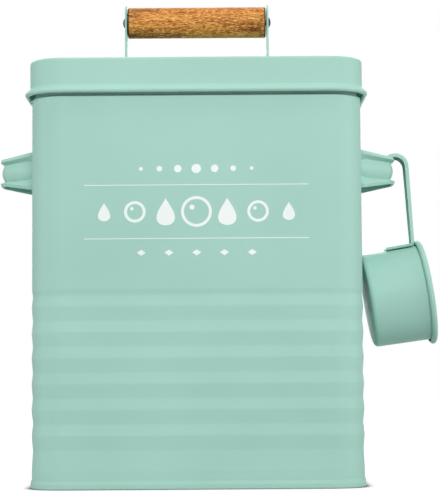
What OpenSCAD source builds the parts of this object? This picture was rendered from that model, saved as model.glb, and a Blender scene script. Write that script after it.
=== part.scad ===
// Laundry powder tin: a ribbed sheet-steel box with a lift-off lid, a turning wooden grip,
// two stamped side handles and a round scoop that hangs on the right one.
// Millimetres, +Z up. The front wall faces -Y and the scoop hangs on the +X side.
// The origin is the middle of the ring that the tin stands on.

/* [Tin] */
// Width over the two flat side walls
tin_w = 185; // [170:1:240]
// Depth over the front and back walls
tin_d = 130; // [112:1:170]
// Height of the wall's top rim above the floor
tin_h = 237.9; // [225:0.1:300]
// Outer radius of the four upright corners
corner_r = 18; // [12:0.5:24]
// Thickness of the steel sheet of tin, lid, base and scoop cup
sheet_t = 0.5; // [0.4:0.05:0.7]
// Height of the hem that is folded inwards at the rim
hem_h = 4; // [2:0.5:8]
// Radius of the hem's fold, on the middle of the sheet
hem_r = 0.6; // [0.5:0.05:1]

/* [Ribs] */
// Number of ribs rolled round the lower wall
rib_count = 6; // [3:1:6]
// Height of the lowest rib's crest
rib_low = 29.2; // [24:0.1:34]
// Height of the sloping face above each crest
rib_upper = 6.3; // [5:0.1:7]
// Height of the sloping face below each crest
rib_lower = 7.9; // [7:0.1:9]
// How far a crest stands out of the flat wall
rib_crest = 0.2; // [0:0.05:0.6]
// How far a trough is pressed into the flat wall
rib_trough = 0.5; // [0.2:0.05:0.9]
// Radius that rounds each crest and trough
rib_round = 8; // [4:0.5:10]
// Height over which the ribs run out into the flat wall
rib_run_out = 3; // [2:0.5:6]

/* [Base] */
// Height of the seam that joins the base to the wall
seam_h = 4.6; // [4:0.1:8]
// How far the seam stands out of the wall
seam_out = 0.75; // [0.7:0.05:1.5]
// Radius of the seam's lower bends, on the middle of the sheet
seam_bend = 0.35; // [0.3:0.01:0.5]
// Gap between the wall's lower edge and the seam that grips it
seam_gap = 0.05; // [0.02:0.01:0.1]
// Height of the base panel's underside above the floor
base_recess = 4; // [3:0.5:6]
// Radius between the seam's inner wall and the panel, on the middle of the sheet
base_bend = 0.8; // [0.5:0.1:1.5]

/* [Lid] */
// Gap between the lid's skirt and the wall
lid_gap = 0.63; // [0.4:0.01:1]
// Gap between the lid's top panel and the rim
lid_seat_gap = 0.2; // [0.1:0.05:0.3]
// Height of the lid from its top panel to the underside of its bead
lid_h = 20.1; // [16:0.1:40]
// Outer radius of the rolled bead along the skirt's lower edge
lid_bead_r = 1.3; // [1:0.05:1.6]
// How far the bead stands out of the wall
lid_bead_out = 4; // [3.8:0.1:6]
// Radius where the skirt begins to flare, on the middle of the sheet
lid_flare_r = 2; // [1:0.1:4]
// Outer radius of the lid's top edge
lid_edge_r = 1.5; // [1:0.1:4]

/* [Lid handle] */
// Height of the grip's axis above the lid's top panel
grip_rise = 32.4; // [24:0.1:50]
// Length of the wooden grip
grip_l = 80.9; // [60:0.1:120]
// Diameter of the wooden grip
grip_d = 18.1; // [14:0.1:26]
// Rounding of the grip's two end edges
grip_edge = 0.9; // [0.4:0.1:2]
// Gap between each end of the grip and the strap beside it
grip_end_gap = 0.8; // [0.4:0.05:1.5]
// Thickness of the bracket's steel strap
strap_t = 1.2; // [1:0.1:2]
// Width of the bracket's steel strap
strap_w = 12; // [9:0.5:16]
// Radius of the two bends at the bracket's foot, on the middle of the strap
strap_bend = 2.2; // [1.5:0.1:4]
// Height of the strap's rounded end above the grip's axis
strap_over = 10.2; // [8:0.1:14]

/* [Grip screws] */
// Diameter of a screw's shank
screw_d = 3.5; // [3:0.1:4.5]
// Length of shank that is driven into the wood
screw_bite = 13; // [8:0.5:20]
// Diameter of a screw's head
screw_head_d = 7; // [6:0.1:9]
// Height of a screw's domed head
screw_head_h = 1.4; // [1.1:0.1:2.5]
// Depth of the cross that is pressed into the head
screw_cross_depth = 0.7; // [0.4:0.1:1]
// Width of each arm of the cross
screw_cross_w = 0.8; // [0.5:0.1:1.2]
// Gap all round a shank in the strap's hole
screw_run_gap = 0.08; // [0.02:0.01:0.1]
// Gap between a screw's head and the strap
screw_head_gap = 0.15; // [0.05:0.05:0.4]
// Gap all round a shank in the wood's drilled hole
screw_wood_gap = 0.02; // [0:0.01:0.05]

/* [Side handles] */
// Distance of the handles' middle below the rim
side_drop = 56.9; // [48:0.1:90]
// How far a handle's web stands out of the wall
side_out = 21.2; // [18:0.1:30]
// Thickness of a handle's sheet
side_t = 0.8; // [0.6:0.05:1.2]
// Height of a handle where it meets the wall
side_root_h = 22.8; // [18:0.1:30]
// Height of a handle along its outer web
side_web_h = 15.8; // [13:0.1:24]
// Half the length of the loop at the wall
side_root = 18.5; // [16:0.1:26]
// Half the length of the loop's outer web
side_web = 7.5; // [7:0.1:12]
// Length of each foot that is welded flat to the wall
side_foot = 8; // [6:0.5:12]
// Radius of the bend between a foot and its arm, on the middle of the sheet
side_root_bend = 3; // [2:0.1:5]
// Radius of the bend between an arm and the web, on the middle of the sheet
side_web_bend = 4.5; // [3:0.1:6]
// How far the two long edges of a handle flare outwards
side_lip = 2.4; // [1:0.1:4]
// How far the middle of a handle bulges outwards
side_bulge = 1.1; // [0:0.1:2]
// Share of the half height that the bulge covers
side_bulge_share = 0.62; // [0.4:0.01:0.7]

/* [Scoop cup] */
// Outer radius of the cup at its base
cup_base_r = 27.1; // [20:0.1:32]
// Depth of the cup from its base to the front of its bead
cup_depth = 36; // [30:0.1:50]
// Slope of the cup's wall against its axis, in degrees
cup_taper = 1; // [0.5:0.1:4]
// Outer radius between the cup's wall and its base
cup_edge_r = 2.5; // [1.5:0.1:6]
// Outer radius of the rolled bead round the mouth
cup_bead_r = 1.7; // [1.2:0.05:2.2]
// Angle of the cup's axis above the horizontal, in degrees
cup_tilt = 8.8; // [0:0.1:15]

/* [Scoop handle] */
// Thickness of the scoop handle's sheet
stem_t = 0.8; // [0.6:0.05:1.2]
// Width of the scoop handle
stem_w = 14; // [9:0.5:15]
// Depth of the handle's turned-in edges along its hook
stem_depth = 2.2; // [1.8:0.1:3]
// Depth of the turned-in edges along the tab on the cup
stem_tab_depth = 1.6; // [1.2:0.1:2]
// Radius of the hook's two bends, on their outside
hook_r = 7.9; // [7:0.1:8.4]
// Length of the straight top between the hook's two bends
hook_flat = 0.8; // [0.4:0.1:2]
// Length of the hook's end below its bends
hook_end = 8; // [5:0.5:11]
// Gap between the hook and the handle's lip that it hangs on
hook_gap = 0.3; // [0.3:0.05:0.6]
// Distance of the hook's middle beyond the tip of the lip
hook_beyond = 1.1; // [0.4:0.1:1.5]
// Distance from the hook's top down to the middle of the cup's base
stem_drop = 86.6; // [70:0.1:100]
// Distance from the hook's middle in to the middle of the cup's base
stem_back = 18.2; // [14:0.1:18.8]
// Where the tab begins along the cup's axis, from the base
tab_start = 15.5; // [10:0.5:20]
// Distance of the tab's bend behind the cup's bead
tab_behind_bead = 1; // [0.8:0.1:2]
// Outer radius of the bend between the tab and the stem
tab_bend = 3; // [2.5:0.1:5]

/* [Front print] */
// Thickness of the printed paint
print_t = 0.1; // [0.05:0.01:0.2]
// Distance of the printed band's middle below the rim
print_drop = 85.7; // [78:0.1:95]
// Distance between the two long rules
rule_gap = 29.7; // [26:0.1:34]
// Thickness of the two long rules
rule_t = 0.4; // [0.3:0.05:1]
// Distance from a rule's end to the start of the rounded corner
rule_margin = 12.5; // [8:0.5:20]
// Diameter of the largest bubble between the rules
bubble_d = 17; // [12:0.5:20]
// Line width of a bubble
bubble_line = 1.6; // [1:0.1:2.5]
// Distance between neighbouring motifs in the band
motif_step = 17; // [16:0.1:18]
// Distance of the row of dots above the upper rule
dots_rise = 9; // [6:0.5:12]
// Diameter of the largest dot above the upper rule
dot_d = 5.2; // [3:0.1:6]
// Distance of the row of lozenges below the lower rule
lozenges_fall = 7.8; // [6:0.1:10]
// Width of a lozenge below the lower rule
lozenge_w = 5; // [3:0.1:6]

/* [Hidden] */
$fn = 64;
MINT = "#a5cfc3";
WOOD = "#c08a4e";
CHROME = "#c9ced2";
WHITE = "#f4f8f6";
// Largest turn between two points of a bend, in degrees
bend_step = 15;
// How far plates reach into the rims that they are joined to
join = 1;
// Rows of points over a side handle's height
side_rows = 20;
// Share of the hem's half width that each of its two bends takes up
hem_share = 0.85;

// Heights and places that other pieces share
wall_foot_z = sheet_t / 2 + seam_bend + seam_gap;
lid_top = tin_h + lid_seat_gap + sheet_t;
grip_z = lid_top + grip_rise;
side_z = tin_h - side_drop;
print_z = tin_h - print_drop;
lip_x = tin_w / 2 + side_out + side_lip;
lip_top = side_z + side_web_h / 2;
hook_top = lip_top + hook_gap + stem_depth;
hook_x = lip_x + hook_beyond;
cup_x = hook_x - stem_back;
cup_z = hook_top - stem_drop;

// Sheet metal is drawn as the middle line of a bent strip and given its thickness

function unit(v) = v / norm(v);

// Points of the arc that rounds the corner b between a and c with radius r
function bend(a, b, c, r) =
    let(u = unit(a - b), w = unit(c - b), inside = acos(u * w), turn = 180 - inside)
    (r == 0 || turn < 0.01) ? [b] :
    let(centre = b + unit(u + w) * r / sin(inside / 2),
        start = b + u * r / tan(inside / 2) - centre,
        from = atan2(start.y, start.x),
        side = u.x * w.y - u.y * w.x > 0 ? -1 : 1,
        steps = ceil(turn / bend_step))
    [for (k = [0:steps]) centre + r * [cos(from + side * turn * k / steps),
                                       sin(from + side * turn * k / steps)]];

// A path through the given corners, each rounded with its own radius
function bent(corners, radii) =
    [for (i = [0:len(corners) - 1])
        each (i == 0 || i == len(corners) - 1 ? [corners[i]] :
              bend(corners[i - 1], corners[i], corners[i + 1], radii[i]))];

// Left-hand side of a path at point i, long enough to keep a parallel path parallel
function left_of(path, i) =
    let(last = len(path) - 1,
        back = max(i, 1),
        ahead = min(i, last - 1),
        d0 = unit(path[back] - path[back - 1]),
        d1 = unit(path[ahead + 1] - path[ahead]),
        n0 = [-d0.y, d0.x],
        n1 = [-d1.y, d1.x])
    (n0 + n1) / (1 + n0 * n1);

function beside(path, distances) =
    [for (i = [0:len(path) - 1]) path[i] + left_of(path, i) * distances[i]];

function even(path, distance) = [for (p = path) distance];

function reversed(list) = [for (i = [len(list) - 1:-1:0]) list[i]];

// Flat outline between two lines that run beside a path
module strip(path, right, left) {
    polygon(concat(beside(path, left), reversed(beside(path, right))));
}

// Flat outline of a sheet of thickness t whose middle line is the path
module sheet(path, t) {
    strip(path, even(path, -t / 2), even(path, t / 2));
}

// Carries a section round the tin: its x is measured outwards from the flat walls
module round_the_tin() {
    for (q = [0:3]) {
        across = q % 2 == 0 ? tin_w / 2 : tin_d / 2;
        along = q % 2 == 0 ? tin_d / 2 - corner_r : tin_w / 2 - corner_r;
        rotate([0, 0, 90 * q]) {
            translate([across, along, 0])
                rotate([90, 0, 0])
                    linear_extrude(2 * along)
                        children();
            translate([across - corner_r, along, 0])
                rotate_extrude(angle = 90)
                    translate([corner_r, 0])
                        children();
        }
    }
}

// Flat plate inside the tin's outline, moved in by the given distance
module plate(inset, bottom, thickness) {
    w = tin_w - 2 * inset;
    d = tin_d - 2 * inset;
    r = corner_r - inset;
    translate([0, 0, bottom])
        linear_extrude(thickness)
            union() {
                square([w - 2 * r, d], center = true);
                square([w, d - 2 * r], center = true);
                for (x = [-1, 1], y = [-1, 1])
                    translate([x * (w / 2 - r), y * (d / 2 - r)])
                        circle(r);
            }
}

// Middle line of the wall: up over the ribs, then folded inwards into the hem
wall_x = -sheet_t / 2;
rib_pitch = rib_upper + rib_lower;
rib_top = rib_low + (rib_count - 1) * rib_pitch + rib_upper;
rib_points = [for (k = [0:rib_count - 1])
    each [[wall_x - rib_trough, rib_low - rib_lower + k * rib_pitch],
          [wall_x + rib_crest, rib_low + k * rib_pitch]]];
wall_corners = concat(
    [[wall_x, wall_foot_z],
     [wall_x, rib_low - rib_lower - rib_run_out]],
    rib_points,
    [[wall_x - rib_trough, rib_top],
     [wall_x, rib_top + rib_run_out],
     [wall_x, tin_h - sheet_t / 2],
     [wall_x - 2 * hem_r, tin_h - sheet_t / 2],
     [wall_x - 2 * hem_r, tin_h - hem_h]]);
hem_bend = hem_r * hem_share;
wall_radii = concat([0, rib_round], [for (p = rib_points) rib_round],
                    [rib_round, rib_round, hem_bend, hem_bend, 0]);

module tin_body() {
    color(MINT)
        round_the_tin()
            sheet(bent(wall_corners, wall_radii), sheet_t);
}

// Middle line of the base's rim: the seam outside the wall, under it and up inside it
seam_x = seam_out - sheet_t / 2;
chuck_x = -sheet_t - seam_gap - sheet_t / 2;
panel_z = base_recess + sheet_t / 2;
base_corners = [
    [seam_x, seam_h],
    [seam_x, sheet_t / 2],
    [chuck_x, sheet_t / 2],
    [chuck_x, panel_z],
    [chuck_x - base_bend - join, panel_z]];

module base_panel() {
    color(MINT) {
        round_the_tin()
            sheet(bent(base_corners, [0, seam_bend, seam_bend, base_bend, 0]), sheet_t);
        plate(base_bend - chuck_x, base_recess, sheet_t);
    }
}

// Middle line of the lid's rim: rolled bead, flare, skirt and top edge
bead_mid_r = lid_bead_r - sheet_t / 2;
bead_x = lid_bead_out - lid_bead_r;
bead_z = lid_top - lid_h + lid_bead_r;
bead_roll = [for (k = [0:14]) let(a = -205 + k * 250 / 14)
    [bead_x, bead_z] + bead_mid_r * [cos(a), sin(a)]];
skirt_x = lid_gap + sheet_t / 2;
flare_z = bead_z + bead_x + bead_mid_r * sqrt(2) - skirt_x;
edge_mid_r = lid_edge_r - sheet_t / 2;
lid_corners = [
    bead_roll[14],
    [skirt_x, flare_z],
    [skirt_x, lid_top - sheet_t / 2],
    [skirt_x - edge_mid_r - join, lid_top - sheet_t / 2]];
lid_line = bent(lid_corners, [0, lid_flare_r, edge_mid_r, 0]);
lid_path = concat(bead_roll, [for (i = [1:len(lid_line) - 1]) lid_line[i]]);

module lid_shell() {
    color(MINT) {
        round_the_tin()
            sheet(lid_path, sheet_t);
        plate(edge_mid_r - skirt_x, lid_top - sheet_t, sheet_t);
    }
}

// The bracket is one strap bent to a U, flat on the lid, with an ear at each end of the grip
ear_x = grip_l / 2 + grip_end_gap + strap_t / 2;
ear_top = grip_z + strap_over;
bracket_corners = [
    [-ear_x, ear_top],
    [-ear_x, lid_top + strap_t / 2],
    [ear_x, lid_top + strap_t / 2],
    [ear_x, ear_top]];

module bracket_side_outline() {
    r = strap_w / 2;
    translate([-r, lid_top - join])
        square([strap_w, ear_top - r - lid_top + join]);
    translate([0, ear_top - r])
        circle(r);
}

module handle_bracket() {
    color(MINT)
        difference() {
            intersection() {
                translate([0, strap_w / 2, 0])
                    rotate([90, 0, 0])
                        linear_extrude(strap_w)
                            sheet(bent(bracket_corners, [0, strap_bend, strap_bend, 0]), strap_t);
                rotate([90, 0, 90])
                    translate([0, 0, -ear_x - strap_t])
                        linear_extrude(2 * (ear_x + strap_t))
                            bracket_side_outline();
            }
            for (side = [-1, 1])
                translate([side * ear_x, 0, grip_z])
                    rotate([0, 90, 0])
                        cylinder(h = 2 * strap_t, r = screw_d / 2 + screw_run_gap, center = true);
        }
}

module wood_grip() {
    r = grip_d / 2;
    outline = bent([[0, -grip_l / 2], [r, -grip_l / 2], [r, grip_l / 2], [0, grip_l / 2]],
                   [0, grip_edge, grip_edge, 0]);
    color(WOOD)
        translate([0, 0, grip_z])
            rotate([0, 90, 0])
                difference() {
                    rotate_extrude()
                        polygon(outline);
                    for (side = [-1, 1])
                        translate([0, 0, side * grip_l / 2])
                            cylinder(h = 2 * screw_bite + 1, r = screw_d / 2 + screw_wood_gap,
                                     center = true);
                }
}

// A pan-head screw along +Z: the head's flat underside is at z = 0 and the shank points down
module pan_screw() {
    head_r = screw_head_d / 2;
    dome_r = (head_r * head_r + screw_head_h * screw_head_h) / (2 * screw_head_h);
    shank_l = screw_head_gap + strap_t + grip_end_gap + screw_bite;
    arm_l = screw_head_d * 0.5;
    difference() {
        union() {
            intersection() {
                cylinder(h = screw_head_h, r = head_r);
                translate([0, 0, screw_head_h - dome_r])
                    sphere(dome_r);
            }
            translate([0, 0, -shank_l])
                cylinder(h = shank_l + screw_head_h / 2, r = screw_d / 2);
        }
        for (turn = [0, 90])
            rotate([0, 0, turn])
                translate([-arm_l / 2, -screw_cross_w / 2, screw_head_h - screw_cross_depth])
                    cube([arm_l, screw_cross_w, 2 * screw_cross_depth]);
    }
}

module grip_screw(side) {
    color(CHROME)
        translate([side * (ear_x + strap_t / 2 + screw_head_gap), 0, grip_z])
            rotate([0, side * 90, 0])
                pan_screw();
}

// Outward shape of a handle's section: v runs from -1 at its lower edge to 1 at its upper one
function relief(v) =
    let(a = abs(v), groove = side_bulge_share)
    a < groove ? side_bulge * (1 - pow(a / groove, 2.5)) :
                 side_lip * pow((a - groove) / (1 - groove), 1.8);

// Middle line of a side handle seen from above: x is the distance from the wall
side_corners = [
    [side_t / 2, side_root + side_foot],
    [side_t / 2, side_root],
    [side_out - side_t / 2, side_web],
    [side_out - side_t / 2, -side_web],
    [side_t / 2, -side_root],
    [side_t / 2, -side_root - side_foot]];
side_path = bent(side_corners,
                 [0, side_root_bend, side_web_bend, side_web_bend, side_root_bend, 0]);

// One closed section of a side handle at point i of its middle line
function side_section(i) =
    let(p = side_path[i],
        out = left_of(side_path, i),
        share = (p.x - side_t / 2) / (side_out - side_t),
        half_h = (side_root_h + (side_web_h - side_root_h) * share) / 2,
        pressed = share * share * (3 - 2 * share),
        rise = [for (j = [0:side_rows]) 2 * j / side_rows - 1],
        face = [for (v = rise) [p.x, p.y, half_h * v] + pressed * relief(v) * [out.x, out.y, 0]],
        half_t = side_t / 2 * [out.x, out.y, 0])
    concat([for (q = face) q + half_t], reversed([for (q = face) q - half_t]));

// Solid sheet through a list of sections. Each section has all its outer points from bottom
// to top and then its inner points from top to bottom.
module loft(sections) {
    m = len(sections[0]);
    rows = m / 2 - 1;
    last = len(sections) - 1;
    points = [for (s = sections) each s];
    walls = [for (i = [0:last - 1], j = [0:m - 1])
        let(a = i * m + j, b = i * m + (j + 1) % m)
        each [[a, a + m, b], [b, a + m, b + m]]];
    first_end = [for (j = [0:rows - 1]) [j, j + 1, m - 2 - j, m - 1 - j]];
    last_end = [for (j = [0:rows - 1])
        [for (k = [m - 1 - j, m - 2 - j, j + 1, j]) last * m + k]];
    polyhedron(points, concat(walls, first_end, last_end));
}

module side_handle(side) {
    color(MINT)
        rotate([0, 0, side > 0 ? 0 : 180])
            translate([tin_w / 2, 0, side_z])
                loft([for (i = [0:len(side_path) - 1]) side_section(i)]);
}

// Middle line of half the cup, from the middle of its base out and up to the rolled bead.
// Its x is the distance from the cup's axis and its y the distance from the base's underside.
cup_bead_mid_r = cup_bead_r - sheet_t / 2;
cup_bead_y = cup_depth - cup_bead_r;
cup_wall_base = cup_base_r - sheet_t / 2;
cup_wall_top = cup_wall_base + cup_bead_y * tan(cup_taper);
cup_bead_x = cup_wall_top + cup_bead_mid_r / cos(cup_taper);
cup_roll = [for (k = [0:14]) let(a = 180 - cup_taper - k * 265 / 14)
    [cup_bead_x, cup_bead_y] + cup_bead_mid_r * [cos(a), sin(a)]];
cup_line = bent([[0, sheet_t / 2], [cup_wall_base, sheet_t / 2], cup_roll[0]],
                [0, cup_edge_r - sheet_t / 2, 0]);
cup_path = concat(cup_line, [for (i = [1:14]) cup_roll[i]]);

module scoop_cup() {
    color(MINT)
        translate([cup_x, 0, cup_z])
            rotate([0, 90 - cup_tilt, 0])
                rotate_extrude($fn = 96)
                    sheet(cup_path, sheet_t);
}

// Point on the top of the cup's outer wall, a given distance from the base along the axis.
// The first value is the world's x and the second the world's z.
function on_cup(along) =
    let(r = cup_base_r + along * tan(cup_taper))
    [cup_x + along * cos(cup_tilt) - r * sin(cup_tilt),
     cup_z + along * sin(cup_tilt) + r * cos(cup_tilt)];

// Outer face of the scoop's handle: along the cup, up the stem, over and down inside the loop
tab_end = on_cup(tab_start);
tab_corner = on_cup(cup_bead_y - cup_bead_r - tab_behind_bead);
hook_low = hook_top - hook_r;
hook_half = hook_r + hook_flat / 2;
stem_corners = [
    tab_end,
    tab_corner,
    [hook_x + hook_half, hook_low - join],
    [hook_x + hook_half, hook_top],
    [hook_x - hook_half, hook_top],
    [hook_x - hook_half, hook_low - hook_end]];
stem_path = bent(stem_corners, [0, tab_bend, 0, hook_r, hook_r, 0]);
stem_edges = [for (p = stem_path) p.y < tab_corner.y + 2 * tab_bend ? stem_tab_depth : stem_depth];

// Extrudes an outline drawn in x and z over a width that is centred on y = 0
module across(width, middle = 0) {
    translate([0, middle + width / 2, 0])
        rotate([90, 0, 0])
            linear_extrude(width)
                children();
}

module scoop_handle() {
    color(MINT) {
        across(stem_w)
            strip(stem_path, even(stem_path, 0), even(stem_path, stem_t));
        for (side = [-1, 1])
            across(stem_t, side * (stem_w - stem_t) / 2)
                strip(stem_path, even(stem_path, 0), stem_edges);
    }
}

// A water drop of the given height, round below and pointed above, centred on its height
module drop(h) {
    steps = 24;
    polygon([for (k = [0:steps - 1]) let(a = k * 360 / steps)
        h / 2 * [0.95 * sin(a) * pow(abs(sin(a / 2)), 1.5), cos(a)]]);
}

// A bubble of the given diameter with a small round glint inside it
module bubble(d) {
    difference() {
        circle(d / 2);
        circle(d / 2 - bubble_line);
    }
    translate([-d / 7, d / 7])
        circle(d / 12, $fn = 32);
}

module lozenge(w) {
    polygon([[-w / 2, 0], [0, w / 3], [w / 2, 0], [0, -w / 3]]);
}

// Bubbles and drops between two rules, dots above them and lozenges below
module print_outline() {
    rule_l = tin_w - 2 * corner_r - 2 * rule_margin;
    for (side = [-1, 1]) {
        translate([0, side * rule_gap / 2])
            square([rule_l, rule_t], center = true);
        translate([side * motif_step, 0])
            drop(bubble_d * 0.9);
        translate([side * 2 * motif_step, 0])
            bubble(bubble_d * 0.7);
        translate([side * 3 * motif_step, 0])
            drop(bubble_d * 0.6);
    }
    bubble(bubble_d);
    for (k = [-3:3])
        translate([k * motif_step * 0.6, rule_gap / 2 + dots_rise])
            circle(dot_d / 2 * (1 - abs(k) / 5), $fn = 32);
    for (k = [-2:2])
        translate([k * motif_step * 0.9, -rule_gap / 2 - lozenges_fall])
            lozenge(lozenge_w);
}

module front_print() {
    color(WHITE)
        translate([0, -tin_d / 2, print_z])
            rotate([90, 0, 0])
                linear_extrude(print_t)
                    print_outline();
}

tin_body();
base_panel();
side_handle(-1);  // side_handle_left
side_handle(1);  // side_handle_right
front_print();
lid_shell();
handle_bracket();
wood_grip();
grip_screw(-1);  // grip_screw_left
grip_screw(1);  // grip_screw_right
scoop_cup();
scoop_handle();
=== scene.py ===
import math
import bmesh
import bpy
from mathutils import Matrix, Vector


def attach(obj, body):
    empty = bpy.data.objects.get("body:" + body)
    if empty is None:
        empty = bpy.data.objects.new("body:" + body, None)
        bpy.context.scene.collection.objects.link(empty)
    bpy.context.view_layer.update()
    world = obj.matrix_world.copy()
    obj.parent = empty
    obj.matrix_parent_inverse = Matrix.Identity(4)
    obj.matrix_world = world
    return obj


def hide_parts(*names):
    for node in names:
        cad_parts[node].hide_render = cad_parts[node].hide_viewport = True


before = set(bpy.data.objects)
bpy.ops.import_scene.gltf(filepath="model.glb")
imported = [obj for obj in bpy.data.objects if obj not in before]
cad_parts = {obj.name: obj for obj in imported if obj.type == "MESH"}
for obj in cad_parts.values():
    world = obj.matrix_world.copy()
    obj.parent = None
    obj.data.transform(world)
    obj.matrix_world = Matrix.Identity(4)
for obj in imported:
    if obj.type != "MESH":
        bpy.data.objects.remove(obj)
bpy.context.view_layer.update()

# %% [markdown]
# # A laundry powder tin in pale mint paint
# The tin is made of thin painted steel sheet: a wall with ribs rolled into its lower half, a base
# that is seamed on, a lid that lifts off, a wooden grip in a steel bracket, two stamped side
# handles and a scoop that hangs on the right one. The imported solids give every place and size,
# and this script dresses them: it makes smoother versions of the sheet pieces and all finishes.

MM = 0.001

# %% [markdown]
# ## Camera
# The camera stands about a metre in front of the tin and a little above its base, and looks up by
# a few degrees, so that the lid's top isn't seen. It is made first, since the rest is judged
# through it. The place and the turns are given so that the edges fall where they should.

# %% Camera
CAMERA_PLACE = Vector((12.84, -1024.06, 58.4)) * MM
CAMERA_PITCH = 0.0759
CAMERA_ROLL = -0.007
FOCAL_PIXELS = 1745.9
LONG_SIDE_PIXELS = 498
SENSOR = 36.0

camera_data = bpy.data.cameras.new("studio_camera")
camera_data.sensor_width = SENSOR
camera_data.lens = FOCAL_PIXELS * SENSOR / LONG_SIDE_PIXELS
camera_data.clip_start = 0.05
camera_data.clip_end = 20.0
camera = bpy.data.objects.new("studio_camera", camera_data)
bpy.context.scene.collection.objects.link(camera)
upright = Matrix.Rotation(math.pi / 2 + CAMERA_PITCH, 4, "X")
camera.matrix_world = (Matrix.Translation(CAMERA_PLACE) @ upright
                       @ Matrix.Rotation(CAMERA_ROLL, 4, "Z"))
bpy.context.scene.camera = camera
print("lens in millimetres:", round(camera_data.lens, 1))

# %% [markdown]
# ## The main sizes
# All sizes are in millimetres, as in a workshop drawing, and each one is the size that the solid
# has. Sections of the sheet pieces are drawn with x as the distance out of the tin's flat wall.

# %% Sizes of tin and lid
TIN_W, TIN_D, TIN_H = 185.0, 130.0, 237.9
CORNER_R = 18.0
SHEET = 0.5
LID_TOP = TIN_H + 0.2 + SHEET
GRIP_Z = LID_TOP + 32.4

# %% [markdown]
# ## Helpers for bent sheet
# A sheet-metal worker bends a flat strip along lines. Here a strip's section starts as a few
# vertices joined by edges, each bend is a bevel of one vertex, and the section is then carried
# along its way by extrude and spin. The middle of the sheet is drawn, and solidify gives it its
# thickness at the end, half to each side.

# %% A bent section
def chain_through(bm, points):
    """A chain of edges through points given in millimetres."""
    verts = [bm.verts.new(Vector(point) * MM) for point in points]
    for pair in zip(verts, verts[1:]):
        bm.edges.new(pair)
    return verts


def section(points, y=0.0):
    """A new bmesh with a chain through points of the xz plane."""
    bm = bmesh.new()
    return bm, chain_through(bm, [(x, y, z) for x, z in points])


def bend(bm, vert, radius, segments=6):
    """Rounds one vertex of a chain to an arc of the given radius."""
    a, b = [edge.other_vert(vert).co - vert.co for edge in vert.link_edges]
    length = radius * MM / math.tan(a.angle(b) / 2)
    bmesh.ops.bevel(bm, geom=[vert], offset=length, offset_type="OFFSET", segments=segments,
                    profile=0.5, affect="VERTICES", material=-1)


def extrude_by(bm, edges, shift):
    """Extrudes a chain of edges by a shift in millimetres and returns the new chain."""
    made = bmesh.ops.extrude_edge_only(bm, edges=edges)["geom"]
    verts = [g for g in made if isinstance(g, bmesh.types.BMVert)]
    bmesh.ops.translate(bm, verts=verts, vec=Vector(shift) * MM)
    fresh = set(verts)
    return [g for g in made if isinstance(g, bmesh.types.BMEdge) and set(g.verts) <= fresh]


# %% Once round the tin
CORNER_STEPS = 16


def round_the_tin(bm):
    """Carries a section that stands at the front end of the right wall once round the tin."""
    along_x, along_y = TIN_W / 2 - CORNER_R, TIN_D / 2 - CORNER_R
    chain = list(bm.edges)
    for quarter in range(4):
        turn = quarter * math.pi / 2
        reach = along_y if quarter % 2 == 0 else along_x
        ahead = Vector((-math.sin(turn), math.cos(turn), 0))
        chain = extrude_by(bm, chain, ahead * 2 * reach)
        signs = [(1, 1), (-1, 1), (-1, -1), (1, -1)][quarter]
        centre = Vector((signs[0] * along_x, signs[1] * along_y, 0)) * MM
        verts = list({v for edge in chain for v in edge.verts})
        last = bmesh.ops.spin(bm, geom=verts + chain, cent=centre, axis=(0, 0, 1),
                              angle=math.pi / 2, steps=CORNER_STEPS)["geom_last"]
        chain = [g for g in last if isinstance(g, bmesh.types.BMEdge)]
    bmesh.ops.remove_doubles(bm, verts=bm.verts, dist=0.001 * MM)


# %% Thickness, and handing a piece over
def face_away(bm, inside):
    """Makes all faces agree, and the largest one look away from a point in millimetres."""
    bmesh.ops.recalc_face_normals(bm, faces=bm.faces)
    bm.normal_update()
    widest = max(bm.faces, key=lambda face: face.calc_area())
    if widest.normal.dot(widest.calc_center_median() - Vector(inside) * MM) < 0:
        bmesh.ops.reverse_faces(bm, faces=bm.faces)
        bm.normal_update()


def thicken(bm, thickness, inside, share_out=0.5):
    """Gives a sheet its thickness, with the given share of it on the outside."""
    face_away(bm, inside)
    out = thickness * MM * share_out
    moves = [(v, v.normal * v.calc_shell_factor() * out) for v in bm.verts]
    for v, move in moves:
        v.co += move
    bmesh.ops.solidify(bm, geom=list(bm.faces), thickness=thickness * MM)


def hand_over(bm, name, body, slot, *nodes, sharp=35):
    """Turns the bmesh into a smooth-shaded piece that rides on its body."""
    volume = bm.calc_volume(signed=True) / MM ** 3
    mesh = bpy.data.meshes.new(name)
    bm.to_mesh(mesh)
    bm.free()
    mesh.shade_smooth()
    mesh.set_sharp_from_angle(angle=math.radians(sharp))
    piece = bpy.data.objects.new(name, mesh)
    bpy.context.scene.collection.objects.link(piece)
    mesh.materials.append(FINISHES[slot])
    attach(piece, body)
    if nodes:
        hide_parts(*nodes)
    print(name, "has", len(mesh.polygons), "faces,", round(volume), "cubic mm, size in mm:",
          [round(side / MM, 1) for side in piece.dimensions])
    return piece

# %% [markdown]
# ## Mint paint
# The paint is a satin stove enamel. Close up it is never one flat colour: it varies a little from
# place to place, it has a faint orange-peel skin from spraying, and its gloss is uneven where
# hands have been. Three noise textures of different sizes give those, on Object coordinates, so
# that nothing slides when a piece moves. One function makes the tin's and the scoop's paint.

# %% Material helpers
def srgb(r, g, b):
    """A colour given as 0 to 255, as linear values with an alpha of 1."""
    parts = []
    for value in (r, g, b):
        v = value / 255
        parts.append(v / 12.92 if v <= 0.04045 else ((v + 0.055) / 1.055) ** 2.4)
    return (*parts, 1.0)


def new_material(name):
    """A material with only its output and a Principled shader."""
    material = bpy.data.materials.new(name)
    material.use_nodes = True
    nodes = material.node_tree.nodes
    return material, nodes, material.node_tree.links, nodes["Principled BSDF"]


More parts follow.
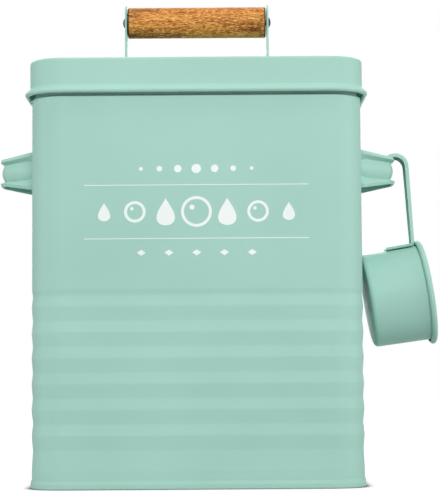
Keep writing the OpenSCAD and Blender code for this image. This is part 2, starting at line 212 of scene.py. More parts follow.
def noise(nodes, links, scale, detail=3.0, roughness=0.5, stretch=(1, 1, 1), place=(0, 0, 0)):
    """A noise texture on Object coordinates, with its pattern stretched and moved."""
    where = nodes.new("ShaderNodeTexCoord")
    mapping = nodes.new("ShaderNodeMapping")
    mapping.inputs["Scale"].default_value = stretch
    mapping.inputs["Location"].default_value = place
    texture = nodes.new("ShaderNodeTexNoise")
    texture.inputs["Scale"].default_value = scale
    texture.inputs["Detail"].default_value = detail
    texture.inputs["Roughness"].default_value = roughness
    links.new(where.outputs["Object"], mapping.inputs["Vector"])
    links.new(mapping.outputs["Vector"], texture.inputs["Vector"])
    return texture.outputs["Fac"]


def remap(nodes, links, value, low, high, to_low, to_high):
    """Stretches a value from one range to another, clamped."""
    node = nodes.new("ShaderNodeMapRange")
    for name, number in (("From Min", low), ("From Max", high), ("To Min", to_low),
                         ("To Max", to_high)):
        node.inputs[name].default_value = number
    links.new(value, node.inputs["Value"])
    return node.outputs["Result"]


def mix(nodes, links, share, first, second):
    """Mixes two colours, each one a fixed colour or another node's output."""
    node = nodes.new("ShaderNodeMix")
    node.data_type = "RGBA"
    links.new(share, node.inputs["Factor"])
    for socket, colour in ((node.inputs["A"], first), (node.inputs["B"], second)):
        if isinstance(colour, tuple):
            socket.default_value = colour
        else:
            links.new(colour, socket)
    return node.outputs["Result"]


def bump(nodes, links, shader, height, strength, distance):
    """Adds a bump of the given depth in millimetres."""
    node = nodes.new("ShaderNodeBump")
    node.inputs["Strength"].default_value = strength
    node.inputs["Distance"].default_value = distance * MM
    links.new(height, node.inputs["Height"])
    links.new(node.outputs["Normal"], shader.inputs["Normal"])


# %% The paint
def enamel(name, light, dark, roughness):
    """Sprayed enamel: soft colour drift, uneven gloss and a fine orange-peel skin."""
    material, nodes, links, shader = new_material(name)
    drift = remap(nodes, links, noise(nodes, links, 14, 2), 0.35, 0.65, 0.0, 1.0)
    links.new(mix(nodes, links, drift, light, dark), shader.inputs["Base Color"])
    gloss = noise(nodes, links, 45, 4, 0.6)
    links.new(remap(nodes, links, gloss, 0.3, 0.7, roughness - 0.04, roughness + 0.05),
              shader.inputs["Roughness"])
    shader.inputs["Specular IOR Level"].default_value = 0.18
    bump(nodes, links, shader, noise(nodes, links, 900, 2), 0.25, 0.02)
    return material


FINISHES = {}
FINISHES["mint_paint"] = enamel("mint_enamel", srgb(167, 210, 198), srgb(163, 206, 193), 0.5)
FINISHES["white_print"] = enamel("white_screen_ink", srgb(244, 250, 248), srgb(238, 246, 243), 0.5)
print("finishes so far:", sorted(FINISHES))

# %% [markdown]
# ## Wood and plated steel
# The grip is turned from one piece of honey-brown wood, so its grain runs along its length.
# Stretched noise gives long streaks and pores, a rounder noise gives the mottled figure, and a
# slow one the few dark knots. Pale stretched flecks are painted glints. The two ends and a narrow
# ring beside each are painted dark: painted shade of the gap between the wood and the bracket.
# The screws are plated steel with faint polishing marks. Their colour is darkened, a painted dark
# reflection of the surroundings.

# %% Wood
GRIP_L, GRIP_END_GAP, END_SHADE_W = 80.9, 0.8, 0.7


def painted_end_shade(nodes, links):
    """1 on the turned grip's two end faces and the narrow ring beside each, where shade is
    painted, else 0.
    """
    where = nodes.new("ShaderNodeTexCoord")
    parts = nodes.new("ShaderNodeSeparateXYZ")
    links.new(where.outputs["Object"], parts.inputs["Vector"])
    distance = nodes.new("ShaderNodeMath")
    distance.operation = "ABSOLUTE"
    links.new(parts.outputs["X"], distance.inputs[0])
    ring = (GRIP_L / 2 - END_SHADE_W) * MM
    return remap(nodes, links, distance.outputs["Value"], ring, ring + 0.4 * MM, 0, 0.92)


def turned_wood(name):
    """Honey-brown wood with its grain along x."""
    material, nodes, links, shader = new_material(name)
    streaks = noise(nodes, links, 330, 5, 0.62, stretch=(0.07, 1, 1))
    lines = noise(nodes, links, 620, 3, 0.55, stretch=(0.03, 1, 1), place=(2.2, 0.6, 1.4))
    flecks = noise(nodes, links, 1300, 3, 0.7, stretch=(0.25, 1, 1), place=(3, 1, 2))
    # Painted glints: pale stretched flecks that stand in for small highlights on the wood.
    painted_glints = noise(nodes, links, 1500, 2, 0.6, stretch=(0.3, 1, 1), place=(0.3, 2, 1))
    figure = noise(nodes, links, 110, 3, 0.6, stretch=(0.3, 1, 1), place=(0.7, 2.1, 0.4))
    knots = noise(nodes, links, 95, 3, 0.6, stretch=(0.35, 1, 1), place=(1.3, 0.2, 0.9))
    base = mix(nodes, links, remap(nodes, links, streaks, 0.36, 0.64, 0, 1),
               srgb(236, 164, 82), srgb(198, 118, 50))
    shaded = mix(nodes, links, remap(nodes, links, figure, 0.46, 0.66, 0, 0.6), base,
                 srgb(150, 88, 40))
    lined = mix(nodes, links, remap(nodes, links, lines, 0.56, 0.68, 0, 0.6), shaded,
                srgb(128, 70, 34))
    flecked = mix(nodes, links, remap(nodes, links, flecks, 0.48, 0.60, 0, 0.8), lined,
                  srgb(120, 60, 22))
    # Painted highlight: the pale glint flecks are mixed into the base colour.
    with_painted_glints = mix(nodes, links, remap(nodes, links, painted_glints, 0.52, 0.64, 0, 0.8), flecked,
               srgb(255, 196, 118))
    dark = mix(nodes, links, remap(nodes, links, knots, 0.58, 0.72, 0, 0.75), with_painted_glints,
               srgb(86, 42, 16))
    # Painted shade: the ends are darkened where the gap beside the bracket lies in shadow.
    end_shaded = mix(nodes, links, painted_end_shade(nodes, links), dark, srgb(30, 20, 14))
    links.new(end_shaded, shader.inputs["Base Color"])
    links.new(remap(nodes, links, flecks, 0.3, 0.7, 0.42, 0.6), shader.inputs["Roughness"])
    shader.inputs["Specular IOR Level"].default_value = 0.1
    bump(nodes, links, shader, streaks, 0.5, 0.12)
    return material


FINISHES["wood"] = turned_wood("oiled_wood")

# %% Plated steel
def plating_with_painted_dark_reflection(name):
    """Plating with faint marks from polishing, darkened as a painted dark reflection."""
    material, nodes, links, shader = new_material(name)
    marks = noise(nodes, links, 700, 3)
    # Painted reflection: the dark base colours stand in for dark surroundings seen in the plating.
    links.new(mix(nodes, links, marks, srgb(78, 82, 85), srgb(54, 58, 61)),
              shader.inputs["Base Color"])
    shader.inputs["Metallic"].default_value = 1.0
    links.new(remap(nodes, links, marks, 0.3, 0.7, 0.12, 0.22), shader.inputs["Roughness"])
    bump(nodes, links, shader, marks, 0.1, 0.02)
    return material


FINISHES["chrome"] = plating_with_painted_dark_reflection("darkened_plating_painted_reflection")
print("finishes:", sorted(FINISHES))

# %% [markdown]
# ## The wall
# A real wall is a strip of sheet that is rolled between shaped wheels, which press the ribs in,
# and then bent round four corners and seamed. Under the lid it steps in a little, which gives
# the lid a seat and leaves a dark groove under its bead. Its upper edge is folded inwards into a
# hem, so that it can't cut. Here the section of that strip is drawn once and carried round.

# %% Ribbed wall
WALL = -SHEET / 2
RIB_UPPER, RIB_LOWER, RIB_LOW, RIB_COUNT = 6.3, 7.9, 29.2, 6
RIB_CREST, RIB_TROUGH, RIB_ROUND, RIB_RUN_OUT, RIB_LAST_RUN_OUT = 0.2, 0.5, 8.0, 3.0, 11.0
HEM_R, HEM_H, HEM_SHARE = 0.6, 4.0, 0.85
NECK_LOW, NECK_RISE, NECK_IN, NECK_ROUND = 216.9, 0.7, 1.8, 0.35
RIGHT = TIN_W / 2
START_Y = CORNER_R - TIN_D / 2

wall_line = [(WALL, 0.65), (WALL, RIB_LOW - RIB_LOWER - RIB_LAST_RUN_OUT)]
for rib in range(RIB_COUNT):
    crest = RIB_LOW + rib * (RIB_UPPER + RIB_LOWER)
    wall_line += [(WALL - RIB_TROUGH, crest - RIB_LOWER), (WALL + RIB_CREST, crest)]
top_trough = RIB_LOW + (RIB_COUNT - 1) * (RIB_UPPER + RIB_LOWER) + RIB_UPPER
wall_line += [(WALL - RIB_TROUGH, top_trough), (WALL, top_trough + RIB_RUN_OUT),
              (WALL, NECK_LOW), (WALL - NECK_IN, NECK_LOW + NECK_RISE),
              (WALL - NECK_IN, TIN_H - SHEET / 2),
              (WALL - NECK_IN - 2 * HEM_R, TIN_H - SHEET / 2),
              (WALL - NECK_IN - 2 * HEM_R, TIN_H - HEM_H)]
wall, verts = section([(RIGHT + x, z) for x, z in wall_line], START_Y)
for vert in verts[1:-5]:
    bend(wall, vert, RIB_ROUND, 3)
for vert in verts[-5:-3]:
    bend(wall, vert, NECK_ROUND)
for vert in verts[-3:-1]:
    bend(wall, vert, HEM_R * HEM_SHARE)
round_the_tin(wall)
thicken(wall, SHEET, (0, 0, 120))
hand_over(wall, "ribbed_wall", "tin", "mint_paint", "tin_body")

# %% [markdown]
# ## The base
# The base is a pressed pan whose rim is folded round the wall's lower edge and squeezed tight.
# Only that seam shows from the side, as a narrow band, and the tin stands on its lower bend.

# %% Seamed base
SEAM_H, SEAM_SLOPE, SEAM_OUT, SEAM_BEND, SEAM_GAP = 4.6, 1.9, 0.75, 0.35, 0.05
BASE_RECESS, BASE_BEND = 4.0, 0.8
seam_x = SEAM_OUT - SHEET / 2
chuck_x = -SHEET - SEAM_GAP - SHEET / 2
base_line = [(SHEET / 2 - SEAM_GAP, SEAM_H), (seam_x, SEAM_H - SEAM_SLOPE), (seam_x, SHEET / 2),
             (chuck_x, SHEET / 2),
             (chuck_x, BASE_RECESS + SHEET / 2), (chuck_x - 3, BASE_RECESS + SHEET / 2)]


def fill_inner_ring(bm, ring_z, most):
    """Fills the open ring at a height, which lies inside most millimetres from the wall."""
    ring = [edge for edge in bm.edges if edge.is_boundary
            and all(abs(v.co.z - ring_z * MM) < 0.01 * MM for v in edge.verts)
            and all(abs(v.co.x) < (RIGHT + most) * MM for v in edge.verts)]
    bmesh.ops.contextual_create(bm, geom=ring)


base, verts = section([(RIGHT + x, z) for x, z in base_line], START_Y)
for vert, radius in zip(verts[1:5], (2.0, SEAM_BEND, SEAM_BEND, BASE_BEND)):
    bend(base, vert, radius)
round_the_tin(base)
fill_inner_ring(base, BASE_RECESS + SHEET / 2, -2)
thicken(base, SHEET, (0, 0, 100))
hand_over(base, "seamed_base", "tin", "mint_paint", "base_panel")

# %% [markdown]
# ## The lid
# The lid is drawn from one sheet: a flat top, a short skirt that flares out at its lower end, and
# a rolled bead that stiffens the edge. The bead is a vertex spun round the bead's centre, and the
# rest of the section continues from it.

# %% Lid with a rolled bead
LID_H, BEAD_R, BEAD_OUT, LID_GAP, FLARE_R, EDGE_R = 20.1, 1.3, 4.0, 0.63, 2.0, 1.5
bead_mid = BEAD_R - SHEET / 2
bead_x, bead_z = BEAD_OUT - BEAD_R, LID_TOP - LID_H + BEAD_R
skirt_x = LID_GAP + SHEET / 2
flare_z = bead_z + bead_x + bead_mid * math.sqrt(2) - skirt_x


def roll(bm, centre, radius, start, turn, steps, y=0.0):
    """Spins a vertex about the y axis through a centre and returns the first and last vertex."""
    place = Vector((centre[0] + radius * math.cos(math.radians(start)), y,
                    centre[1] + radius * math.sin(math.radians(start)))) * MM
    first = bm.verts.new(place)
    middle = Vector((centre[0], y, centre[1])) * MM
    last = bmesh.ops.spin(bm, geom=[first], cent=middle, axis=(0, -1, 0),
                          angle=math.radians(turn), steps=steps)["geom_last"]
    return first, [g for g in last if isinstance(g, bmesh.types.BMVert)][0]


lid = bmesh.new()
_, end = roll(lid, (RIGHT + bead_x, bead_z), bead_mid, -205, 250, 24, START_Y)
print("the bead's roll ends at", [round(c / MM, 2) for c in end.co])
chain = [end]
for x, z in ((skirt_x, flare_z), (skirt_x, LID_TOP - SHEET / 2),
             (skirt_x - 4, LID_TOP - SHEET / 2)):
    chain.append(lid.verts.new(Vector((RIGHT + x, START_Y, z)) * MM))
    lid.edges.new(chain[-2:])
bend(lid, chain[1], FLARE_R)
bend(lid, chain[2], EDGE_R - SHEET / 2, 8)
round_the_tin(lid)
fill_inner_ring(lid, LID_TOP - SHEET / 2, -2)
thicken(lid, SHEET, (0, 0, 0))
hand_over(lid, "lid_pressing", "lid", "mint_paint", "lid_shell")

# %% [markdown]
# ## The bracket over the lid
# The bracket is one strap, punched with a hole near each rounded end, and bent to a U. One ear is
# filled from its outline and its hole, given its thickness, and its lower end is spun through the
# bend and pulled to the middle. A mirror makes the other half, as the real strap is symmetric.

# %% Bracket
GRIP_D, GRIP_EDGE, GRIP_LONGER = 18.1, 0.9, 0.3
STRAP_T, STRAP_W, STRAP_BEND, STRAP_OVER = 1.2, 12.0, 2.2, 10.2
SCREW_D, SCREW_RUN_GAP = 3.5, 0.08
ear_inside = GRIP_L / 2 + GRIP_END_GAP
ear_top = GRIP_Z + STRAP_OVER
bend_top = LID_TOP + STRAP_T / 2 + STRAP_BEND


def bevel_sharp(bm, width, segments=2, least=50):
    """Bevels the edges that turn by more than the least angle in degrees."""
    bm.normal_update()
    edges = [e for e in bm.edges if e.is_manifold and e.calc_face_angle() > math.radians(least)]
    bmesh.ops.bevel(bm, geom=edges, offset=width * MM, offset_type="OFFSET", segments=segments,
                    profile=0.5, affect="EDGES", material=-1)


bracket = bmesh.new()
half_w = STRAP_W / 2
corners = chain_through(bracket, [(ear_inside, -half_w, bend_top), (ear_inside, -half_w, ear_top),
                                  (ear_inside, half_w, ear_top), (ear_inside, half_w, bend_top)])
bracket.edges.new((corners[0], corners[-1]))
for corner in corners[1:3]:
    bend(bracket, corner, half_w - 0.01, 10)
hole_place = Matrix.Translation(Vector((ear_inside, 0, GRIP_Z)) * MM)
bmesh.ops.create_circle(bracket, cap_ends=False, segments=32,
                        radius=(SCREW_D / 2 + SCREW_RUN_GAP) * MM,
                        matrix=hole_place @ Matrix.Rotation(math.pi / 2, 4, "Y"))
bmesh.ops.triangle_fill(bracket, edges=list(bracket.edges), use_beauty=True)
blank = bmesh.ops.extrude_face_region(bracket, geom=list(bracket.faces))["geom"]
bmesh.ops.translate(bracket, verts=[g for g in blank if isinstance(g, bmesh.types.BMVert)],
                    vec=(STRAP_T * MM, 0, 0))
bmesh.ops.recalc_face_normals(bracket, faces=bracket.faces)
bracket.normal_update()
foot = [face for face in bracket.faces if face.normal.z < -0.9
        and face.calc_center_median().z < bend_top * MM + 0.01 * MM]
bent = bmesh.ops.spin(bracket, geom=foot, axis=(0, 1, 0), angle=math.pi / 2, steps=8,
                      cent=Vector((ear_inside + STRAP_T / 2 - STRAP_BEND, 0, bend_top)) * MM)
bmesh.ops.delete(bracket, geom=foot, context="FACES_ONLY")
end_face = [g for g in bent["geom_last"] if isinstance(g, bmesh.types.BMFace)]
strip = bmesh.ops.extrude_face_region(bracket, geom=end_face)["geom"]
for vert in [g for g in strip if isinstance(g, bmesh.types.BMVert)]:
    vert.co.x = 0
bmesh.ops.delete(bracket, geom=end_face, context="FACES_ONLY")
middle = [face for face in bracket.faces if all(abs(v.co.x) < 0.001 * MM for v in face.verts)]
bmesh.ops.delete(bracket, geom=middle, context="FACES_ONLY")
bmesh.ops.mirror(bracket, geom=list(bracket.verts) + list(bracket.edges) + list(bracket.faces),
                 axis="X", merge_dist=0.002 * MM)
bmesh.ops.remove_doubles(bracket, verts=bracket.verts, dist=0.002 * MM)
face_away(bracket, (0, 0, LID_TOP))
bevel_sharp(bracket, 0.22)
hand_over(bracket, "grip_bracket", "lid", "mint_paint", "handle_bracket")

# %% [markdown]
# ## The wooden grip
# The grip is turned on a lathe, so it is a section spun once about its own axis: a long straight
# side, two slightly eased edges and a drilled hole in each end for the screw.

# %% Turned grip
SCREW_BITE, SCREW_WOOD_GAP = 13.0, 0.02
half_l, hole_r = GRIP_L / 2 + GRIP_LONGER, SCREW_D / 2 + SCREW_WOOD_GAP
grip_line = [(-half_l + SCREW_BITE + 0.5, 0), (-half_l + SCREW_BITE + 0.5, hole_r),
             (-half_l, hole_r), (-half_l, GRIP_D / 2), (half_l, GRIP_D / 2), (half_l, hole_r),
             (half_l - SCREW_BITE - 0.5, hole_r), (half_l - SCREW_BITE - 0.5, 0)]


def spin_whole(bm, centre, axis, steps):
    """Spins all that is drawn once round an axis and closes it."""
    bmesh.ops.spin(bm, geom=list(bm.verts) + list(bm.edges), cent=Vector(centre) * MM, axis=axis,
                   angle=2 * math.pi, steps=steps, use_merge=True)
    bmesh.ops.remove_doubles(bm, verts=bm.verts, dist=0.002 * MM)


grip, verts = section([(x, GRIP_Z + r) for x, r in grip_line])
for vert in verts[3:5]:
    bend(grip, vert, GRIP_EDGE, 4)
spin_whole(grip, (0, 0, GRIP_Z), (1, 0, 0), 64)
face_away(grip, (0, 0, GRIP_Z))
hand_over(grip, "turned_grip", "grip", "wood", "wood_grip")

# %% [markdown]
# ## The screws
# Each end is held by a pan-head screw with a cross recess. The head and shank are one spun
# section. Plane cuts mark the cross on the dome, and its faces are pushed in to a flat floor.

# %% Pan-head screws
HEAD_D, HEAD_H, HEAD_GAP, CROSS_DEPTH, CROSS_W = 7.0, 1.4, 0.15, 0.7, 0.8


def dome_section():
    """Half the screw's outline: x is the distance from the axis and z the height on it."""
    head_r = HEAD_D / 2
    dome_r = (head_r ** 2 + HEAD_H ** 2) / (2 * HEAD_H)
    reach = math.asin(head_r / dome_r)
    bm = bmesh.new()
    top = bm.verts.new((0, 0, HEAD_H * MM))
    arc = bmesh.ops.spin(bm, geom=[top], cent=(0, 0, (HEAD_H - dome_r) * MM), axis=(0, 1, 0),
                         angle=reach, steps=10)["geom_last"]
    edge = [g for g in arc if isinstance(g, bmesh.types.BMVert)][0]
    shank = HEAD_GAP + STRAP_T + GRIP_END_GAP + SCREW_BITE
    below = chain_through(bm, [(SCREW_D / 2, 0, 0), (SCREW_D / 2, 0, -shank), (0, 0, -shank)])
    bm.edges.new((edge, below[0]))
    return bm


def press_cross(bm):
    """Cuts the outline of the cross into the head and pushes the cross down."""
    half, arm = CROSS_W / 2, HEAD_D / 4
    for axis in ((1, 0, 0), (0, 1, 0)):
        for place in (-arm, -half, half, arm):
            geom = list(bm.verts) + list(bm.edges) + list(bm.faces)
            bmesh.ops.bisect_plane(bm, geom=geom, dist=1e-7, plane_co=Vector(axis) * place * MM,
                                   plane_no=axis)
    cross = []
    for face in bm.faces:
        spot = face.calc_center_median() / MM
        near, far = sorted((abs(spot.x), abs(spot.y)))
        if spot.z > 0.05 and near < half and far < arm:
            cross.append(face)
    floor = bmesh.ops.extrude_face_region(bm, geom=cross)["geom"]
    bmesh.ops.delete(bm, geom=cross, context="FACES_ONLY")
    for vert in [g for g in floor if isinstance(g, bmesh.types.BMVert)]:
        vert.co.z = (HEAD_H - CROSS_DEPTH) * MM


for side, name in ((-1, "left"), (1, "right")):
    screw = dome_section()
    spin_whole(screw, (0, 0, 0), (0, 0, 1), 48)
    face_away(screw, (0, 0, -5))
    press_cross(screw)
    seat = side * (ear_inside + STRAP_T + HEAD_GAP)
    bmesh.ops.transform(screw, verts=screw.verts, matrix=Matrix.Translation(
        Vector((seat, 0, GRIP_Z)) * MM) @ Matrix.Rotation(side * math.pi / 2, 4, "Y"))
    bmesh.ops.recalc_face_normals(screw, faces=screw.faces)
    hand_over(screw, name + "_pan_screw", "grip", "chrome", "grip_screw_" + name)

# %% [markdown]
# ## The side handles
# A side handle is a strip with two pressed grooves, bent to a loop and welded to the wall by two
# feet. The loop is drawn from above and extruded to a fine net of faces. The relief that the
# press leaves, a broad bulge between two flared lips, is then a move of each point along its
# normal. It ends close to the wall, where the real strip is flat for its spot welds. The edges
# are folded over, so they are drawn thicker than the rest.

# %% The pressed relief
SIDE_Z, SIDE_OUT, SIDE_T = TIN_H - 56.9, 21.2, 0.8
SIDE_ROOT_H, SIDE_WEB_H, SIDE_ROOT, SIDE_WEB, SIDE_FOOT = 22.8, 15.8, 18.5, 7.5, 8.0
SIDE_ROOT_BEND, SIDE_WEB_BEND, SIDE_LIP = 3.0, 4.5, 2.4
PRESS_LIP, PRESS_BULGE, PRESS_SINK, PRESS_RUN_OUT = 2.0, 0.9, 0.7, 0.12
SIDE_ROWS, HEM_START, HEM_TILT, HEM_EXTRA, HEM_ROUND = 72, 0.82, 0.5, 0.7, 0.3
WELD_Z, WELD_Y, WELD_R, WELD_DEPTH = 6.0, SIDE_ROOT + 4.6, 1.3, 0.3


def relief(v, share):
    """How far the strip stands out at height v, from -1 below to 1 above, at a share of the way
    from the wall to the web. The bulge runs to a point at the wall and is widest at the web."""
    spread = min(1, 4 * share)
    crease = 0.42 + 0.14 * spread + 0.08 * share if v > 0 else 0.26 + 0.14 * spread + 0.24 * share
    if abs(v) < crease:
        return (PRESS_BULGE + PRESS_SINK) * (1 - (abs(v) / crease) ** 2) - PRESS_SINK
    climb = min(1, (abs(v) - crease) / (HEM_START - crease))
    back = HEM_TILT * max(0, abs(v) - HEM_START) / (1 - HEM_START)
    return (PRESS_LIP + PRESS_SINK) * climb ** 1.2 - PRESS_SINK - back


def weld_dimple(y, z):
    """The small dent of a spot weld in the foot, one above the other on each side."""
    gap = math.hypot(abs(y) - WELD_Y, abs(z) - WELD_Z)
    return -WELD_DEPTH * math.exp(-(gap / WELD_R) ** 4)


# %% Side handles
def side_handle(side, name):
    """One stamped handle; side is 1 on the right and -1 on the left."""
    near, far, root, web = SIDE_T / 2, SIDE_OUT - SIDE_T / 2, SIDE_ROOT, SIDE_WEB
    bm = bmesh.new()
    path = [(near, root + SIDE_FOOT, 0), (near, root, 0), (far, web, 0), (far, -web, 0),
            (near, -root, 0), (near, -root - SIDE_FOOT, 0)]
    verts = chain_through(bm, path)
    for vert, radius in zip(verts[1:5], (SIDE_ROOT_BEND, SIDE_WEB_BEND, SIDE_WEB_BEND,
                                         SIDE_ROOT_BEND)):
        bend(bm, vert, radius, 8)
    long_edges = [edge for edge in bm.edges if edge.calc_length() > 3 * MM]
    bmesh.ops.subdivide_edges(bm, edges=long_edges, cuts=16)
    extrude_by(bm, list(bm.edges), (0, 0, 1))
    rises = [edge for edge in bm.edges if abs(edge.verts[0].co.z - edge.verts[1].co.z) > MM / 2]
    bmesh.ops.subdivide_edges(bm, edges=rises, cuts=SIDE_ROWS - 1, use_grid_fill=True)
    face_away(bm, (0, 0, 0.5))
    hem = bm.verts.layers.float.new("hem")
    moved = []
    for vert in bm.verts:
        height = 2 * vert.co.z / MM - 1
        share = (vert.co.x / MM - near) / (far - near)
        half_h = (SIDE_ROOT_H + (SIDE_WEB_H - SIDE_ROOT_H) * share) / 2 - HEM_ROUND
        reach = min(1, share / PRESS_RUN_OUT)
        pressed = reach * reach * (3 - 2 * reach)
        vert[hem] = pressed if abs(height) > HEM_START else 0
        out = pressed * relief(height, share)
        if share < 0.001:
            out += weld_dimple(vert.co.y / MM, half_h * height)
        moved.append((vert, Vector((vert.co.x, vert.co.y, half_h * height * MM))
                      + vert.normal * out * MM))
    for vert, place in moved:
        vert.co = place
    first_shell = set(bm.verts)
    thicken(bm, SIDE_T, (0, 0, 0))
    bm.normal_update()
    folded = [(v, v.normal * v[hem] * HEM_EXTRA * MM) for v in bm.verts if v not in first_shell]
    for vert, shift in folded:
        vert.co += shift
    bevel_sharp(bm, HEM_ROUND, 3, 75)
    bmesh.ops.transform(bm, verts=bm.verts, matrix=Matrix.Rotation(
        0 if side > 0 else math.pi, 4, "Z") @ Matrix.Translation(
        Vector((TIN_W / 2, 0, SIDE_Z)) * MM))
    return hand_over(bm, name, "tin", "mint_paint", "side_" + name.replace("_loop", ""))


side_handle(-1, "handle_left_loop")
side_handle(1, "handle_right_loop")

# %% [markdown]
# ## The scoop
# The cup is spun from one disc, like a small pan, with a rolled bead round its mouth. Its handle
# is a strip with both edges turned in, which makes a light channel: it lies on the cup as a tab,
# turns up as the stem and ends in a hook that hangs on the side handle's lip.

# %% Scoop cup
CUP_BASE_R, CUP_DEPTH, CUP_TAPER, CUP_EDGE_R, CUP_BEAD_R, CUP_TILT = 27.1, 36.0, 1.0, 2.5, 1.7, 8.8
LIP_X = TIN_W / 2 + SIDE_OUT + SIDE_LIP
LIP_TOP = SIDE_Z + SIDE_WEB_H / 2
STEM_DEPTH, HOOK_GAP, HOOK_BEYOND, STEM_DROP, STEM_BACK = 2.2, 0.3, 1.1, 86.6, 18.2
HOOK_TOP = LIP_TOP + HOOK_GAP + STEM_DEPTH
HOOK_X = LIP_X + HOOK_BEYOND
CUP_X, CUP_Z = HOOK_X - STEM_BACK, HOOK_TOP - STEM_DROP
taper = math.radians(CUP_TAPER)
cup_bead_mid = CUP_BEAD_R - SHEET / 2
cup_bead_y = CUP_DEPTH - CUP_BEAD_R
cup_wall = CUP_BASE_R - SHEET / 2
cup_bead_x = cup_wall + cup_bead_y * math.tan(taper) + cup_bead_mid / math.cos(taper)

cup = bmesh.new()
rim, _ = roll(cup, (cup_bead_x, cup_bead_y), cup_bead_mid, 180 - CUP_TAPER, -265, 24)
cup_base = chain_through(cup, [(0, 0, SHEET / 2), (cup_wall, 0, SHEET / 2)])
cup.edges.new((cup_base[1], rim))
bend(cup, cup_base[1], CUP_EDGE_R - SHEET / 2, 8)
spin_whole(cup, (0, 0, 0), (0, 0, 1), 96)
thicken(cup, SHEET, (0, 0, 20))
hang = Matrix.Translation(Vector((CUP_X, 0, CUP_Z)) * MM) @ Matrix.Rotation(
    math.radians(90 - CUP_TILT), 4, "Y")
bmesh.ops.transform(cup, verts=cup.verts, matrix=hang)
hand_over(cup, "spun_scoop_cup", "tin", "mint_paint", "scoop_cup")

# %% Scoop handle
STEM_T, STEM_W, TAB_DEPTH, HOOK_R, HOOK_FLAT, HOOK_END = 0.8, 14.0, 1.6, 7.9, 0.8, 8.0
HOOK_LEAN, HOOK_ROUND, KNEE_LEAN, KNEE_DROP, KNEE_ROUND = 2.4, 7.6, 1.6, 1, 30
TAB_FLANGE_RISE, STEM_STEPS = 6, 14
TAB_START, TAB_BEHIND_BEAD, TAB_BEND, FOLD_R = 15.5, 0.4, 1.8, 0.7


def on_cup(along):
    """The world's x and z on top of the cup's wall, a distance from its base."""
    r, tilt = CUP_BASE_R + along * math.tan(taper), math.radians(CUP_TILT)
    return (CUP_X + along * math.cos(tilt) - r * math.sin(tilt),
            CUP_Z + along * math.sin(tilt) + r * math.cos(tilt))


hook_low, hook_half = HOOK_TOP - HOOK_R, HOOK_R + HOOK_FLAT / 2
tab_corner = on_cup(cup_bead_y - CUP_BEAD_R - TAB_BEHIND_BEAD)
stem, verts = section([on_cup(TAB_START), tab_corner,
                       (HOOK_X + hook_half - KNEE_LEAN, hook_low - KNEE_DROP),
                       (HOOK_X + hook_half - HOOK_LEAN, HOOK_TOP), (HOOK_X - hook_half, HOOK_TOP),
                       (HOOK_X - hook_half, hook_low - HOOK_END)], -STEM_W / 2)
for vert, radius in ((verts[1], TAB_BEND), (verts[2], KNEE_ROUND), (verts[3], HOOK_ROUND),
                     (verts[4], HOOK_ROUND - 1)):
    bend(stem, vert, radius, STEM_STEPS)
extrude_by(stem, list(stem.edges), (0, STEM_W, 0))
face_away(stem, (HOOK_X, 0, 150))
sides = [edge for edge in stem.edges if abs(edge.verts[0].co.y - edge.verts[1].co.y) < MM
         and edge.is_boundary]
away = {tuple(v.co): v.normal.copy() for v in stem.verts}
flange = bmesh.ops.extrude_edge_only(stem, edges=sides)["geom"]
for vert in [g for g in flange if isinstance(g, bmesh.types.BMVert)]:
    depth = TAB_DEPTH if vert.co.z < (tab_corner[1] + TAB_FLANGE_RISE) * MM else STEM_DEPTH
    vert.co -= away[tuple(vert.co)] * depth * MM
stem.normal_update()
folds = [edge for edge in stem.edges if edge.is_manifold
         and edge.calc_face_angle() > math.radians(60)]
bmesh.ops.bevel(stem, geom=folds, offset=FOLD_R * MM, offset_type="OFFSET", segments=3,
                profile=0.5, affect="EDGES", material=-1)
thicken(stem, STEM_T, (HOOK_X - 20, 0, 160), 0)
hand_over(stem, "channel_scoop_handle", "tin", "mint_paint", "scoop_handle")

# %% [markdown]
# ## The printed front
# The print is a thin layer of white ink, so its solid already has the right shape and only needs
# the ink's finish. The other solids are all replaced by the smoother pieces above.

# %% Ink on the front
print_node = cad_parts["front_print"]
print_node.data.materials.clear()
print_node.data.materials.append(FINISHES["white_print"])
print("faces of the print:", len(print_node.data.polygons))

# %% [markdown]
# ## Studio
# The photograph is a product shot on white: broad soft light from above and in front, hardly any
# shadow, and a background that is fully white. The floor and the world look white to the camera
# and to reflections, and the floor keeps a share of its own shading, which shows the shadow. An
# ambient occlusion node finds the floor close beside the tin, where the white fades out, so that
# the tin stands in a thin contact shadow.

# %% White world
world = bpy.data.worlds.new("studio_world")
world.use_nodes = True
bpy.context.scene.world = world
links, nodes = world.node_tree.links, world.node_tree.nodes
background = nodes["Background"]
AMBIENT = 0.09


def in_view(nodes, links):
    """1 for a ray that the camera, a reflection or a pane of glass looks along, else 0."""
    path = nodes.new("ShaderNodeLightPath")
    value = path.outputs["Is Camera Ray"]
    for kind in ("Is Glossy Ray", "Is Transmission Ray"):
        larger = nodes.new("ShaderNodeMath")
        larger.operation = "MAXIMUM"
        links.new(value, larger.inputs[0])
        links.new(path.outputs[kind], larger.inputs[1])
        value = larger.outputs["Value"]
    return value


strength = remap(nodes, links, in_view(nodes, links), 0, 1, AMBIENT, 1.0)
background.inputs["Color"].default_value = (1, 1, 1, 1)
links.new(strength, background.inputs["Strength"])

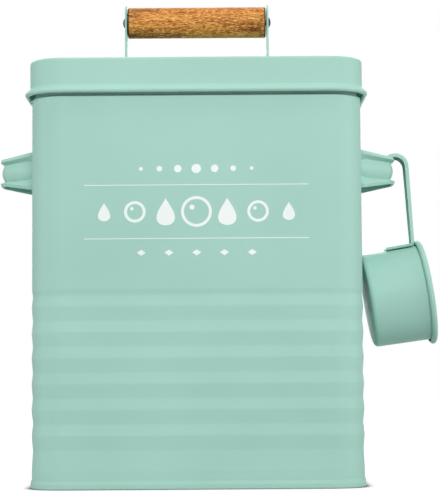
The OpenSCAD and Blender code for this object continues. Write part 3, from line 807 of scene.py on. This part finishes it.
# %% Floor
FLOOR_HALF, CONTACT_REACH, FLOOR_GREY = 2.5, 0.009, (0.5, 0.5, 0.5, 1)
floor_mesh = bmesh.new()
bmesh.ops.create_grid(floor_mesh, x_segments=1, y_segments=1, size=FLOOR_HALF)
floor_data = bpy.data.meshes.new("studio_floor")
floor_mesh.to_mesh(floor_data)
floor_mesh.free()
floor = bpy.data.objects.new("studio_floor", floor_data)
bpy.context.scene.collection.objects.link(floor)
floor_material, nodes, links, shader = new_material("white_floor")
near = nodes.new("ShaderNodeAmbientOcclusion")
near.inputs["Distance"].default_value = CONTACT_REACH
contact = remap(nodes, links, near.outputs["AO"], 0.55, 0.85, 0.0, 1.0)
shader.inputs["Base Color"].default_value = FLOOR_GREY
shader.inputs["Roughness"].default_value = 0.9
glow = nodes.new("ShaderNodeEmission")
where = nodes.new("ShaderNodeTexCoord")
spread = nodes.new("ShaderNodeVectorMath")
spread.operation = "LENGTH"
links.new(where.outputs["Object"], spread.inputs[0])
whiteness = remap(nodes, links, spread.outputs["Value"], 0.12, 0.45, 1.13, 1.3)
shaded_glow = nodes.new("ShaderNodeMath")
shaded_glow.operation = "MULTIPLY"
links.new(whiteness, shaded_glow.inputs[0])
links.new(contact, shaded_glow.inputs[1])
links.new(shaded_glow.outputs["Value"], glow.inputs["Strength"])
blend_in = nodes.new("ShaderNodeMixShader")
links.new(remap(nodes, links, in_view(nodes, links), 0, 1, 0, 0.8), blend_in.inputs["Fac"])
links.new(shader.outputs["BSDF"], blend_in.inputs[1])
links.new(glow.outputs["Emission"], blend_in.inputs[2])
links.new(blend_in.outputs["Shader"], nodes["Material Output"].inputs["Surface"])
floor_data.materials.append(floor_material)

# %% Soft boxes
def soft_box(name, place, target, size, power):
    """A square area light of the given side in metres that looks at a point."""
    data = bpy.data.lights.new(name, "AREA")
    data.size = size
    data.energy = power
    light = bpy.data.objects.new(name, data)
    bpy.context.scene.collection.objects.link(light)
    aim = (Vector(target) - Vector(place)).to_track_quat("-Z", "Y")
    light.matrix_world = Matrix.Translation(place) @ aim.to_matrix().to_4x4()
    return light


soft_box("key_box", (0.15, -2.2, 1.2), (0, 0, 0.13), 0.7, 32.8)
soft_box("right_box", (1.6, -0.4, 0.5), (0, 0, 0.13), 0.9, 8.8)
soft_box("left_box", (-1.6, -0.4, 0.5), (0, 0, 0.13), 0.9, 7.3)
soft_box("top_box", (0.0, -0.13, 1.4), (0, 0, 0.13), 0.9, 7)
soft_box("back_box", (-0.05, 1.8, 0.65), (0, 0, 0.13), 1.2, 23)

# %% [markdown]
# ## Colour management
# Standard keeps each colour about as it is written.

# %% Colour management
bpy.context.scene.view_settings.view_transform = "Standard"
